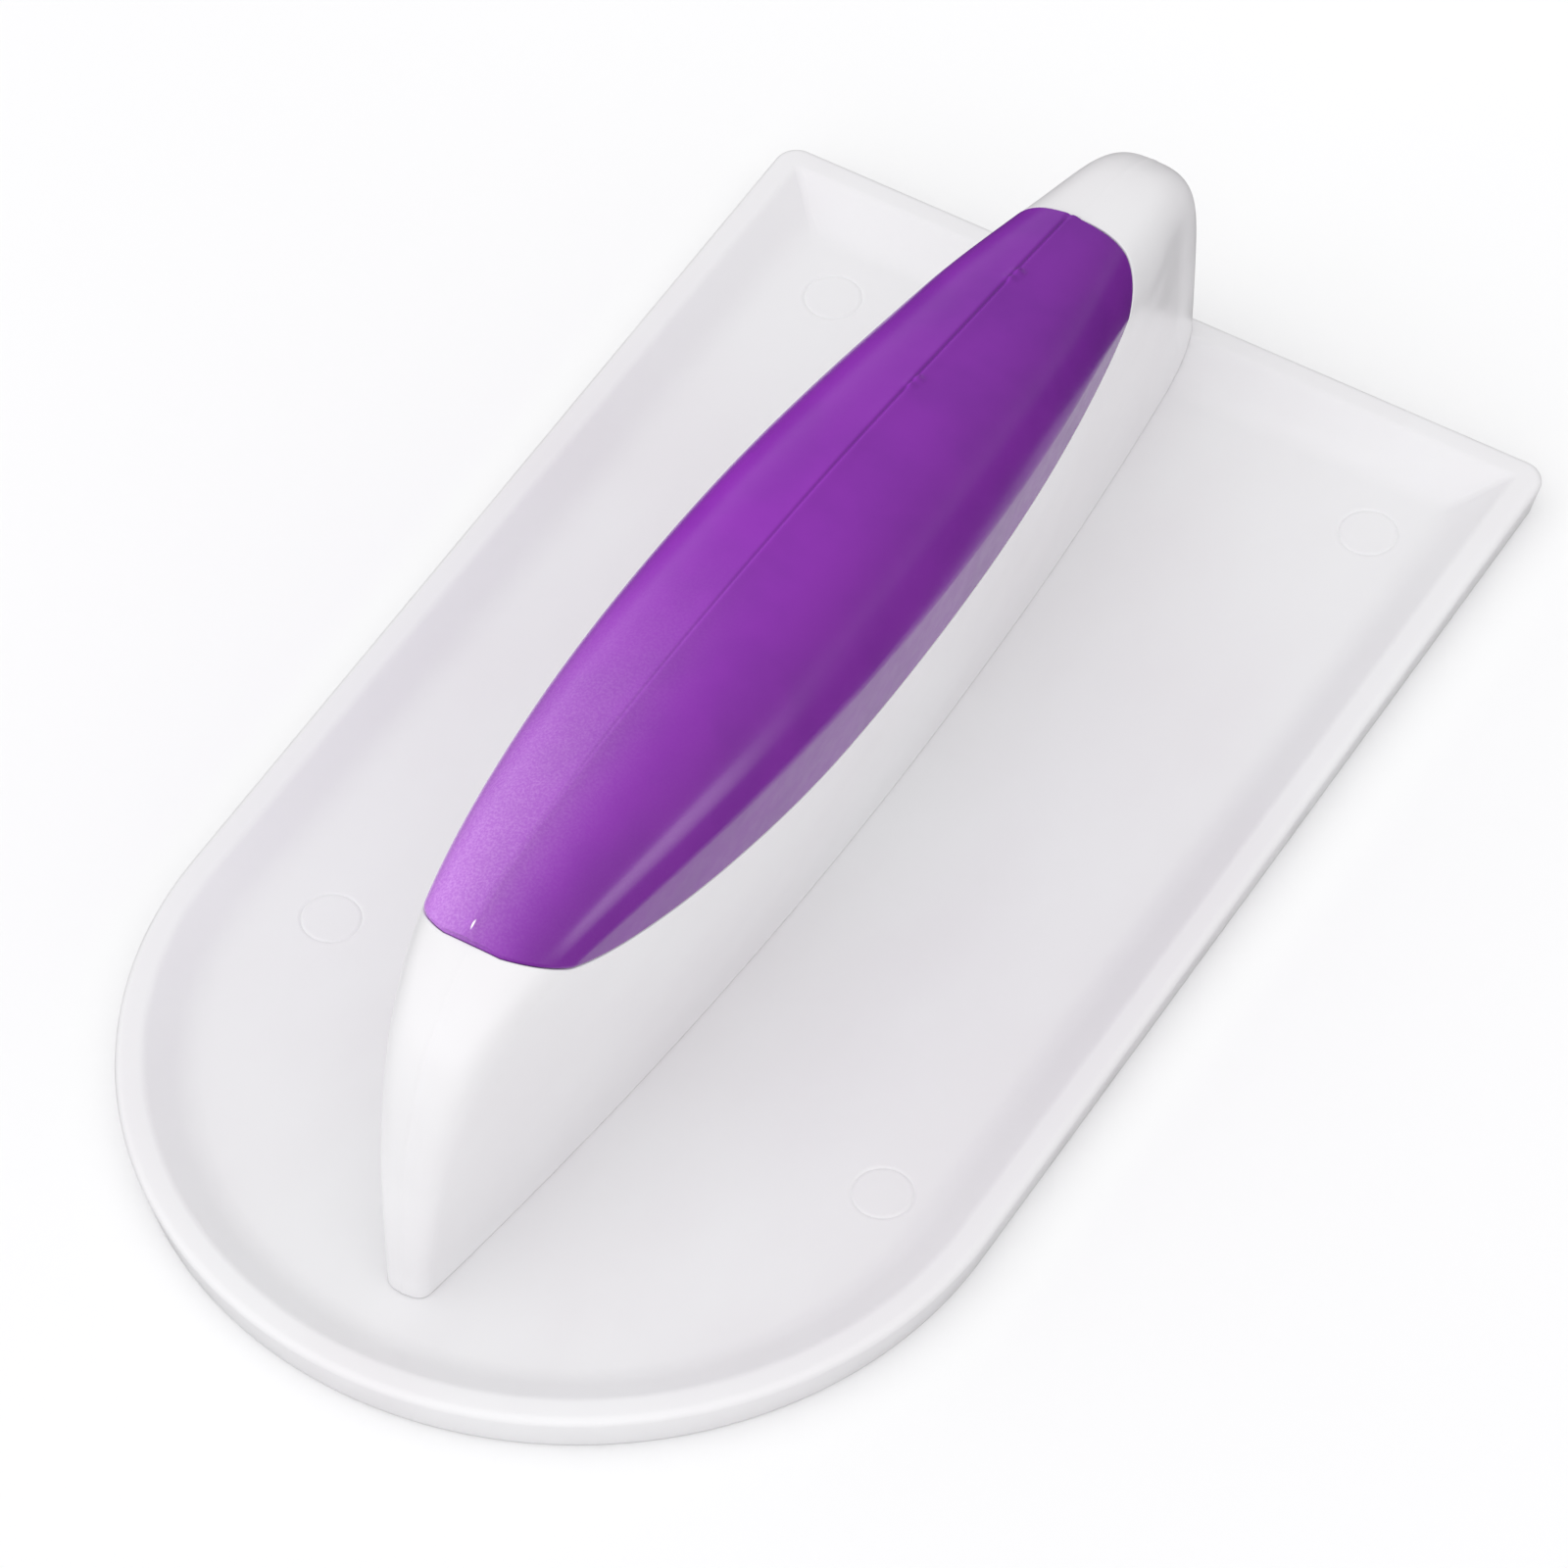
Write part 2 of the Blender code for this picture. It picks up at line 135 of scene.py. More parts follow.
# Mould seam along the grip: a low crest with a groove, which deepens towards the rear.
SEAM_HEIGHT = 0.46 * MM
SEAM_WIDTH = 2.4 * MM
SEAM_X = -0.68 * MM
SEAM_GROOVE_WIDTH = 0.15 * MM
SEAM_GROOVE_DEPTH = 0.22 * MM
SEAM_GROOVE_RUN = 80.0 * MM
SEAM_GROOVE_LEAST = 0.2
# Bits of flash: x, y, radius and height.
SEAM_FLASH = [
    (0.32 * MM, 46.0 * MM, 0.45 * MM, 0.36 * MM), (0.12 * MM, 44.9 * MM, 0.40 * MM, 0.28 * MM),
    (0.32 * MM, 27.5 * MM, 0.42 * MM, 0.30 * MM), (0.15 * MM, 26.4 * MM, 0.36 * MM, 0.24 * MM),
    (-0.10 * MM, -48.4 * MM, 0.36 * MM, 0.12 * MM)]

# Faint mould parting line along the handle.
PARTING_HEIGHT = 0.05 * MM
PARTING_WIDTH = 0.25 * MM

# Mesh density. Rows that run together at the handle's nose merge.
HANDLE_MERGE = 0.015 * MM
HANDLE_ROWS = 320
CAP_COLUMNS = 44
WALL_COLUMNS = 22
GRIP_POINTS = 900
GRIP_RINGS = 44
HIDDEN_POINTS = 450
HIDDEN_RINGS = 16
SEAM_RINGS = np.array([0.0, 0.25, 0.42, 0.52, 0.58, 0.64, 0.70, 0.76, 0.82, 0.9, 1.05, 1.3, 1.7]) * MM
SPINE_SETBACK = 2.0 * MM
EDGE_STEPS = 5
INNER_ROUNDING_STEPS = 8
FILLET_STEPS = 10
PIN_MARK_STEPS = 72
FRONT_ARC_STEPS = 260
CORNER_STEPS = 14

# Camera and set.
CAMERA_AZIMUTH = math.radians(30.92)
CAMERA_ELEVATION = math.radians(49.91)
CAMERA_DISTANCE = 0.8341
CAMERA_AIM = Vector((6.65 * MM, -8.03 * MM, 20.5 * MM))
CAMERA_LENS = 210.9
CAMERA_SENSOR = 36.0
FLOOR_REACH = 4.0
FLOOR_DROP = 0.02 * MM
SKY_LEVEL = 0.81
SKY_GRADIENT = (0.04, -0.40, 0.44)
BACKDROP_LEVEL = 0.95
SKY_BANDS = [(-0.30, 0.12), (0.0, 0.18), (0.22, 1.40), (0.5, 0.90), (1.0, 1.0)]
GRIP_KEY = dict(azimuth=-66.0, elevation=31.0, distance=0.40, size=0.32, radiance=5.6)
SHOULDER_STREAK = dict(azimuth=107.0, elevation=5.0, distance=1.0, size=0.40, radiance=5.6)

# Colours, linear, and roughnesses.
WHITE = (0.815, 0.81, 0.825)
WHITE_SHADE = (0.79, 0.775, 0.795)
DIRT = (0.35, 0.32, 0.32)
PLATE_ROUGHNESS = 0.36
HANDLE_ROUGHNESS = 0.34
GRIP_COLOR = (0.175, 0.014, 0.290)
# Darker purple, for the random mottling and for the painted shade towards the rear.
GRIP_MOTTLE_AND_REAR_SHADE = (0.125, 0.009, 0.225)
# Pale dust colour, which also paints a sheen on the left front of the grip.
GRIP_DUST_AND_SHEEN = (0.62, 0.40, 0.70)
GRIP_ROUGHNESS = 0.45
CHIP_COLOR = (0.85, 0.80, 0.86)
CHIP_CENTRE = (-0.6 * MM, -48.6 * MM, 38.0 * MM)
CHIP_RADII = (0.14 * MM, 0.60 * MM, 2.0 * MM)
FLOOR_COLORS = ((0.93, 0.93, 0.935), (0.915, 0.915, 0.92))


# Mesh helpers -----------------------------------------------------------------------------------

def object_from_bmesh(name, bm, sharp_angle):
    bmesh.ops.remove_doubles(bm, verts=bm.verts, dist=1e-7)
    bmesh.ops.recalc_face_normals(bm, faces=bm.faces)
    if bm.calc_volume(signed=True) < 0.0:
        bmesh.ops.reverse_faces(bm, faces=bm.faces)
    mesh = bpy.data.meshes.new(name)
    bm.to_mesh(mesh)
    bm.free()
    mesh.shade_smooth()
    mesh.set_sharp_from_angle(angle=math.radians(sharp_angle))
    obj = bpy.data.objects.new(name, mesh)
    bpy.context.scene.collection.objects.link(obj)
    return obj


def bridge(bm, lower, upper, closed=True):
    """Quads between two equal rows of vertices."""
    count = len(lower)
    for i in range(count if closed else count - 1):
        j = (i + 1) % count
        bm.faces.new((lower[i], lower[j], upper[j], upper[i]))


def arc(start_degrees, end_degrees, steps):
    """Cosines and sines of evenly spaced angles, both ends included."""
    for i in range(steps + 1):
        angle = math.radians(start_degrees + (end_degrees - start_degrees) * i / steps)
        yield math.cos(angle), math.sin(angle)


# Plate ------------------------------------------------------------------------------------------

def plate_outline(inset):
    """The plate's outline moved inwards: a half-round front and a straight rear edge."""
    half_width = PLATE_HALF_WIDTH - inset
    front_centre_y = PLATE_FRONT_Y + PLATE_HALF_WIDTH
    rear_y = PLATE_REAR_Y - inset
    radius = max(REAR_CORNER_RADIUS - inset, REAR_CORNER_RADIUS / 4.0)
    points = []
    for side, first_angle in ((1.0, 0.0), (-1.0, 90.0)):
        for c, s in arc(first_angle, first_angle + 90.0, CORNER_STEPS):
            points.append((side * (half_width - radius) + radius * c, rear_y - radius + radius * s))
    for c, s in arc(180.0, 360.0, FRONT_ARC_STEPS):
        points.append((half_width * c, front_centre_y + half_width * s))
    return points


def rim_slope_profile():
    """Inner side of the rim as (inset, z): rounded edge, sloping wall and floor fillet."""
    fillet_drop = RIM_SLOPE * FLOOR_FILLET_RUN / 2.0
    straight_run = (RIM_HEIGHT - FLOOR_Z - fillet_drop) / RIM_SLOPE
    half = INNER_ROUNDING / 2.0
    profile = []
    for i in range(INNER_ROUNDING_STEPS + 1):
        u = i / INNER_ROUNDING_STEPS
        inset = RIM_LAND - half + INNER_ROUNDING * u
        profile.append((inset, RIM_HEIGHT - RIM_SLOPE * INNER_ROUNDING * u * u / 2.0))
    for i in range(FILLET_STEPS + 1):
        u = i / FILLET_STEPS
        inset = RIM_LAND + straight_run + FLOOR_FILLET_RUN * u
        profile.append((inset, FLOOR_Z + fillet_drop * (1.0 - u) ** 2))
    return profile


def plate_profile():
    """The plate's section as (inset, z), from the sole round the rim to the floor."""
    profile = []
    for c, s in arc(-90.0, -180.0, 4):
        profile.append((OUTER_DRAFT + SOLE_ROUNDING * (1.0 + c), SOLE_ROUNDING * (1.0 + s)))
    for c, s in arc(180.0, 90.0, 6):
        profile.append((OUTER_ROUNDING * (1.0 + c), RIM_HEIGHT - OUTER_ROUNDING * (1.0 - s)))
    return profile + rim_slope_profile()


def circle(bm, x, y, z, radius):
    last_angle = 360.0 - 360.0 / PIN_MARK_STEPS
    turns = arc(0.0, last_angle, PIN_MARK_STEPS - 1)
    return [bm.verts.new((x + radius * c, y + radius * s, z)) for c, s in turns]


def build_pin_mark(bm, x, y):
    """A pin mark's groove, with a flat margin on both sides; returns its outer ring of vertices."""
    half = PIN_GROOVE_WIDTH / 2.0
    steps = [(2.0 * half, 0.0), (half, 0.0), (0.0, PIN_GROOVE_DEPTH), (-half, 0.0), (-2.0 * half, 0.0)]
    rings = [circle(bm, x, y, FLOOR_Z - depth, PIN_MARK_RADIUS + offset) for offset, depth in steps]
    for outer, inner in zip(rings, rings[1:]):
        bridge(bm, outer, inner)
    bm.faces.new(rings[-1])
    return rings[0]


def build_plate():
    bm = bmesh.new()
    rings = [[bm.verts.new((x, y, z)) for x, y in plate_outline(inset)] for inset, z in plate_profile()]
    for lower, upper in zip(rings, rings[1:]):
        bridge(bm, lower, upper)
    bm.faces.new(rings[0])
    loops = [rings[-1]] + [build_pin_mark(bm, x, y) for x, y in PIN_MARKS]
    edges = []
    for loop in loops:
        for i, vertex in enumerate(loop):
            edges.append(bm.edges.get((vertex, loop[i - 1])) or bm.edges.new((vertex, loop[i - 1])))
    bmesh.ops.triangle_fill(bm, use_beauty=True, edges=edges)
    plate = object_from_bmesh("plate", bm, 40.0)
    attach(plate, "root")
    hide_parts("base_plate")
    return plate


# Handle surface ---------------------------------------------------------------------------------

def smooth_profile():
    """The side profile as evenly spaced (y, z) samples and their distances along it."""
    points = [(HANDLE_FRONT_Y + y * HANDLE_LENGTH, z * HANDLE_TOP_Z) for y, z in PROFILE_SHARES]
    points = [(points[0][0], BELOW_FLOOR_Z)] + points + [(points[-1][0], BELOW_FLOOR_Z)]
    controls = [points[0]] + points + [points[-1]]
    samples = []
    for p0, p1, p2, p3 in zip(controls, controls[1:], controls[2:], controls[3:]):
        p0, p1, p2, p3 = (np.array(p) for p in (p0, p1, p2, p3))
        for t in np.arange(0.0, 1.0, 0.02):
            linear = (p2 - p0) * t
            square = (2.0 * p0 - 5.0 * p1 + 4.0 * p2 - p3) * t ** 2
            cube = (3.0 * p1 - p0 - 3.0 * p2 + p3) * t ** 3
            samples.append(0.5 * (2.0 * p1 + linear + square + cube))
    samples = np.array(samples + [np.array(points[-1])])
    lengths = np.concatenate(([0.0], np.cumsum(np.linalg.norm(np.diff(samples, axis=0), axis=1))))
    even = np.arange(0.0, lengths[-1], PROFILE_SPACING)
    curve = np.stack([np.interp(even, lengths, samples[:, k]) for k in (0, 1)], axis=1)
    reach = int(4.0 * PROFILE_SMOOTHING / PROFILE_SPACING)
    weights = np.exp(-0.5 * (np.arange(-reach, reach + 1) * PROFILE_SPACING / PROFILE_SMOOTHING) ** 2)
    weights /= weights.sum()
    start = curve[0] + (curve[0] - curve[1]) * np.arange(reach, 0, -1)[:, None]
    end = curve[-1] + (curve[-1] - curve[-2]) * np.arange(1, reach + 1)[:, None]
    padded = np.concatenate((start, curve, end))
    curve = np.stack([np.convolve(padded[:, k], weights, "valid") for k in (0, 1)], axis=1)
    lengths = np.concatenate(([0.0], np.cumsum(np.linalg.norm(np.diff(curve, axis=0), axis=1))))
    return curve, lengths


PROFILE, PROFILE_LENGTHS = smooth_profile()
PROFILE_TOTAL = PROFILE_LENGTHS[-1]
PROFILE_SLOPES = np.gradient(PROFILE, PROFILE_LENGTHS, axis=0)


def profile_point(distance):
    return (np.interp(distance, PROFILE_LENGTHS, PROFILE[:, 0]),
            np.interp(distance, PROFILE_LENGTHS, PROFILE[:, 1]))


def profile_inward(distance):
    """Unit normal of the profile, pointing into the handle."""
    along_y = np.interp(distance, PROFILE_LENGTHS, PROFILE_SLOPES[:, 0])
    along_z = np.interp(distance, PROFILE_LENGTHS, PROFILE_SLOPES[:, 1])
    length = np.hypot(along_y, along_z)
    return along_z / length, -along_y / length


def distance_at_y(y):
    """Distance along the profile at which its top side passes a given y."""
    top = PROFILE[:, 1] > 0.5 * SHOULDER_Z
    return float(np.interp(y, PROFILE[top, 0], PROFILE_LENGTHS[top]))


def plan_half_width(plan, y):
    span = np.where(y < plan["y"], plan["front"], plan["rear"])
    return plan["width"] * (1.0 - ((y - plan["y"]) / span) ** 2)


def wall_half_width(y, z):
    """Half-width of the handle at a height, from its narrow foot up to its wide shoulder."""
    foot = plan_half_width(FOOT_PLAN, y)
    shoulder = plan_half_width(SHOULDER_PLAN, y)
    rise = np.clip((z - FLOOR_Z) / (SHOULDER_Z - FLOOR_Z), 0.0, 1.0)
    return foot + (shoulder - foot) * rise


def rear_blend(distance):
    """0 along the handle, rising to 1 over its rounded rear end."""
    start = distance_at_y(HANDLE_REAR_Y) - REAR_ROUNDING_LENGTH
    blend = np.clip((distance - start) / REAR_ROUNDING_LENGTH, 0.0, 1.0)
    return blend * blend * (3.0 - 2.0 * blend)


def cap_depth(distance):
    """Depth of the rounded cap, which grows into the round rear end of the handle."""
    y, z = profile_point(distance)
    ratio = CAP_DEPTH_RATIO + (REAR_DEPTH_RATIO - CAP_DEPTH_RATIO) * rear_blend(distance)
    return ratio * wall_half_width(y, z)


def foot_line_y(distance):
    """Where the wall below a profile distance reaches the bottom."""
    front = PROFILE[0, 0] + cap_depth(0.0)
    rear = PROFILE[-1, 0] - cap_depth(PROFILE_TOTAL)
    return front + (rear - front) * distance / PROFILE_TOTAL


def handle_surface(distance, section):
    """Points of the handle's outer surface, for arrays of one shape.

    distance runs along the side profile. section runs down the side: 0 is the ridge, 1 the end
    of the rounded cap and 2 the bottom edge. A negative section is the left side. The cap stops
    short of upright, so that it meets the wall in a crease, except round the rear end.
    """
    y, z = profile_point(distance)
    inward_y, inward_z = profile_inward(distance)
    depth = cap_depth(distance)
    shoulder_y = y + depth * inward_y
    shoulder_z = z + depth * inward_z
    amount = np.abs(section)
    sweep = CAP_SWEEP + (math.pi / 2.0 - CAP_SWEEP) * rear_blend(distance)
    angle = np.minimum(amount, 1.0) * sweep
    power = 2.0 / CAP_EXPONENT
    across = (np.sin(angle) / np.sin(sweep)) ** power
    end_drop = 1.0 - np.maximum(np.cos(sweep), 0.0) ** power
    sink = depth * (1.0 - np.maximum(np.cos(angle), 0.0) ** power) / end_drop
    down = np.maximum(amount - 1.0, 0.0)
    wall_y = shoulder_y + (foot_line_y(distance) - shoulder_y) * down
    wall_z = shoulder_z + (BELOW_FLOOR_Z - shoulder_z) * down
    cap_x = wall_half_width(shoulder_y, shoulder_z) * across
    on_cap = amount <= 1.0
    x = np.where(on_cap, cap_x, wall_half_width(wall_y, wall_z))
    y = np.where(on_cap, y + sink * inward_y, wall_y)
    z = np.where(on_cap, z + sink * inward_z, wall_z)
    return np.stack((np.sign(section) * x, y, z), axis=-1)


def handle_normal(distance, section):
    """Outward unit normals of the handle's surface, by small steps along and across it."""
    step = 0.4 * MM
    section_step = 0.02
    low = np.maximum(distance - step, 0.0)
    high = np.minimum(distance + step, PROFILE_TOTAL)
    along = handle_surface(high, section) - handle_surface(low, section)
    across = handle_surface(distance, section + section_step)
    across = across - handle_surface(distance, section - section_step)
    normal = np.cross(across, along)
    return normal / np.linalg.norm(normal, axis=-1, keepdims=True)


# Outline of the grip, laid out flat: distance along the profile, and reach down the side ------------

def section_table():
    """The section value at each station of the profile and reach down the side."""
    stations = np.linspace(0.0, PROFILE_TOTAL, 500)
    sections = np.linspace(0.0, 1.8, 181)
    points = handle_surface(stations[:, None] + 0.0 * sections, sections + 0.0 * stations[:, None])
    steps = np.linalg.norm(np.diff(points, axis=1), axis=-1)
    lengths = np.concatenate((np.zeros((len(stations), 1)), np.cumsum(steps, axis=1)), axis=1)
    reaches = np.linspace(0.0, 1.3 * GRIP_REACH, 400)
    table = np.stack([np.interp(reaches, row, sections) for row in lengths])
    return stations, reaches, table


STATIONS, REACHES, SECTIONS = section_table()


def surface_arguments(distance, side):
    """(distance, section) of places given by their distance and their signed reach down the side."""
    row = np.clip(distance / (STATIONS[1] - STATIONS[0]), 0.0, len(STATIONS) - 1.001)
    column = np.clip(np.abs(side) / (REACHES[1] - REACHES[0]), 0.0, len(REACHES) - 1.001)
    i, j = row.astype(int), column.astype(int)
    u, v = row - i, column - j
    low = SECTIONS[i, j] * (1.0 - v) + SECTIONS[i, j + 1] * v
    high = SECTIONS[i + 1, j] * (1.0 - v) + SECTIONS[i + 1, j + 1] * v
    return distance, np.sign(side) * (low * (1.0 - u) + high * u)


def taper_share(q):
    """0 at the grip's deepest place and 1 at both ends, with a rounded turn between."""
    turn = GRIP_TURN ** 2
    power = GRIP_TAPER / 2.0
    return ((q * q + turn) ** power - turn ** power) / ((1.0 + turn) ** power - turn ** power)


def grip_outline(count):
    """The grip's closed outline as evenly spaced (distance, side) points, and its outward normals."""
    front = distance_at_y(GRIP_FRONT_Y)
    deepest = distance_at_y(GRIP_DEEPEST_Y)
    rear = distance_at_y(GRIP_REAR_Y)
    q = -np.cos(np.linspace(0.0, np.pi, 2001))
    bluntness = np.where(q < 0.0, GRIP_FRONT_BLUNTNESS, GRIP_REAR_BLUNTNESS)
    reach = GRIP_REACH * (1.0 - taper_share(GRIP_FLAT_END * q)) ** (1.0 / bluntness)
    distance = deepest + q * np.where(q < 0.0, deepest - front, rear - deepest)
    right = np.stack((distance, reach), axis=1)
    right = np.concatenate(([[front, 0.0]], right, [[rear, 0.0]]))
    left = right[-2:0:-1] * (1.0, -1.0)
    loop = np.concatenate((right, left, right[:1]))
    lengths = np.concatenate(([0.0], np.cumsum(np.linalg.norm(np.diff(loop, axis=0), axis=1))))
    even = lengths[-1] * np.arange(count) / count
    points = np.stack([np.interp(even, lengths, loop[:, k]) for k in (0, 1)], axis=1)
    tangent = np.roll(points, -1, axis=0) - np.roll(points, 1, axis=0)
    normal = np.stack((-tangent[:, 1], tangent[:, 0]), axis=1)
    return points, normal / np.linalg.norm(normal, axis=1, keepdims=True)


def skin_points(distance, side, depth):
    """Points a given depth below the handle's surface."""
    place = surface_arguments(distance, side)
    return handle_surface(*place) - handle_normal(*place) * depth[..., None]


def outline_sheet(bm, outline, offset, depth, rings, relief=None):
    """A sheet over the whole grip, from its spine out to the moved outline. Returns its border."""
    points, normals = outline
    border = points + normals * offset
    spine_low = points[:, 0].min() + SPINE_SETBACK
    spine_high = points[:, 0].max() - SPINE_SETBACK
    spine = np.stack((np.clip(border[:, 0], spine_low, spine_high), 0.0 * border[:, 0]), axis=1)
    span = np.linalg.norm(border - spine, axis=1, keepdims=True)
    outward = (border - spine) / span
    first = SEAM_RINGS[-1]
    reaches = [reach + 0.0 * span for reach in SEAM_RINGS]
    reaches += [first + (span - first) * (i + 1) / rings for i in range(rings)]
    loops = []
    for reach in reaches:
        flat = spine + outward * reach
        loop = skin_points(flat[:, 0], flat[:, 1], np.full(len(flat), depth))
        if relief is not None:
            loop = loop + handle_normal(*surface_arguments(flat[:, 0], flat[:, 1])) * relief(loop)[:, None]
        loops.append([bm.verts.new(point) for point in loop])
    for lower, upper in zip(loops, loops[1:]):
        bridge(bm, lower, upper)
    bmesh.ops.remove_doubles(bm, verts=loops[0], dist=1e-6)
    return loops[-1]


def border_loop(bm, outline, offset, depth):
    points, normals = outline
    border = points + normals * offset
    loop = skin_points(border[:, 0], border[:, 1], np.full(len(border), depth))
    return [bm.verts.new(point) for point in loop]


def outline_solid(name, count, rings, edge, bottom_depth, relief=None):
    """A solid over the grip's outline. edge lists (offset, depth) of its border, from the top down."""
    bm = bmesh.new()
    outline = grip_outline(count)
    loops = [outline_sheet(bm, outline, edge[0][0], edge[0][1], rings, relief)]
    loops += [border_loop(bm, outline, offset, depth) for offset, depth in edge[1:]]
    loops.append(outline_sheet(bm, outline, edge[-1][0], bottom_depth, HIDDEN_RINGS))
    for lower, upper in zip(loops, loops[1:]):
        bridge(bm, lower, upper)
    return object_from_bmesh(name, bm, 60.0)


def seam_relief(points):
    """The grip's mould seam: a low crest along the ridge with a fine groove and bits of flash."""
    x = points[..., 0] - SEAM_X
    y = points[..., 1]
    rise = SEAM_HEIGHT * np.exp(-np.abs(x) / SEAM_WIDTH)
    deepening = np.clip((y - GRIP_FRONT_Y) / SEAM_GROOVE_RUN, SEAM_GROOVE_LEAST, 1.0)
    rise -= SEAM_GROOVE_DEPTH * deepening * np.exp(-(x / SEAM_GROOVE_WIDTH) ** 2)
    for flash_x, flash_y, radius, height in SEAM_FLASH:
        reach = ((x - flash_x) ** 2 + (y - flash_y) ** 2) / radius ** 2
        rise += height * np.exp(-reach)
    return rise


def build_grip():
    radius = GRIP_EDGE_ROUNDING
    edge = [(radius * (s - 1.0) - GRIP_GAP, radius * (1.0 - c)) for c, s in arc(0.0, 90.0, EDGE_STEPS)]
    grip = outline_solid("soft_grip", GRIP_POINTS, GRIP_RINGS, edge, GRIP_THICKNESS, seam_relief)
    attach(grip, "root")
    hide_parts("grip_cover")
    return grip


# Handle -----------------------------------------------------------------------------------------

def build_recess_cutter():
    """What the grip's recess takes out of the handle, with a rounded lip."""
    radius = RECESS_EDGE_ROUNDING
    edge = [(2.0 * radius, -CUTTER_RISE)]
    for c, s in arc(0.0, 90.0, EDGE_STEPS):
        edge.append((radius * (1.0 - s), radius * (1.0 - c)))
    return outline_solid("recess_cutter", HIDDEN_POINTS, HIDDEN_RINGS, edge, GRIP_THICKNESS + GRIP_GAP)


def handle_sections():
    cap = np.linspace(0.0, 1.0, CAP_COLUMNS + 1) ** (CAP_EXPONENT / 2.0)
    wall = np.linspace(1.0, 2.0, WALL_COLUMNS + 1)[1:]
    right = np.concatenate((cap, wall))
    return np.concatenate((-right[:0:-1], right))


def build_foot_cutter():
    """What lies under the handle: the floor, the rear slope and the rear rim."""
    below = 3.0 * BELOW_FLOOR_Z
    behind_y = PLATE_REAR_Y + FOOT_CUTTER_MARGIN
    outline = [(PLATE_FRONT_Y, below), (PLATE_FRONT_Y, FLOOR_Z + FOOT_GAP)]
    for inset, z in reversed(rim_slope_profile()):
        outline.append((PLATE_REAR_Y - inset - FOOT_GAP, z + FOOT_GAP))
    outline += [(behind_y, RIM_HEIGHT + FOOT_GAP), (behind_y, below)]
    bm = bmesh.new()
    sides = (-FOOT_CUTTER_REACH, FOOT_CUTTER_REACH)
    rings = [[bm.verts.new((x, y, z)) for y, z in outline] for x in sides]
    bridge(bm, rings[0], rings[1])
    bm.faces.new(rings[0])
    bm.faces.new(rings[1])
    return object_from_bmesh("foot_cutter", bm, 30.0)


def subtract(target, cutter):
    modifier = target.modifiers.new("cut", "BOOLEAN")
    modifier.operation = "DIFFERENCE"
    modifier.solver = "EXACT"
    modifier.object = cutter
    bpy.context.view_layer.objects.active = target
    target.select_set(True)
    bpy.ops.object.modifier_apply(modifier=modifier.name)
    bpy.data.objects.remove(cutter)


def build_handle():
    sections = handle_sections()
    distance = np.linspace(0.0, PROFILE_TOTAL, HANDLE_ROWS + 1)[:, None] + 0.0 * sections
    section = sections + 0.0 * distance
    points = handle_surface(distance, section)
    ridge = PARTING_HEIGHT * np.exp(-(points[..., 0] / PARTING_WIDTH) ** 2)
    points += handle_normal(distance, section) * ridge[..., None]
    bm = bmesh.new()
    rows = [[bm.verts.new(point) for point in row] for row in points]
    for lower, upper in zip(rows, rows[1:]):
        bridge(bm, lower, upper, closed=False)
    bmesh.ops.remove_doubles(bm, verts=bm.verts, dist=HANDLE_MERGE)
    bmesh.ops.holes_fill(bm, edges=[edge for edge in bm.edges if edge.is_boundary], sides=0)
    handle = object_from_bmesh("handle", bm, 50.0)
    subtract(handle, build_foot_cutter())
    subtract(handle, build_recess_cutter())
    handle.data.set_sharp_from_angle(angle=math.radians(50.0))
    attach(handle, "root")
    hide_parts("handle_shell")
    return handle


# Materials --------------------------------------------------------------------------------------

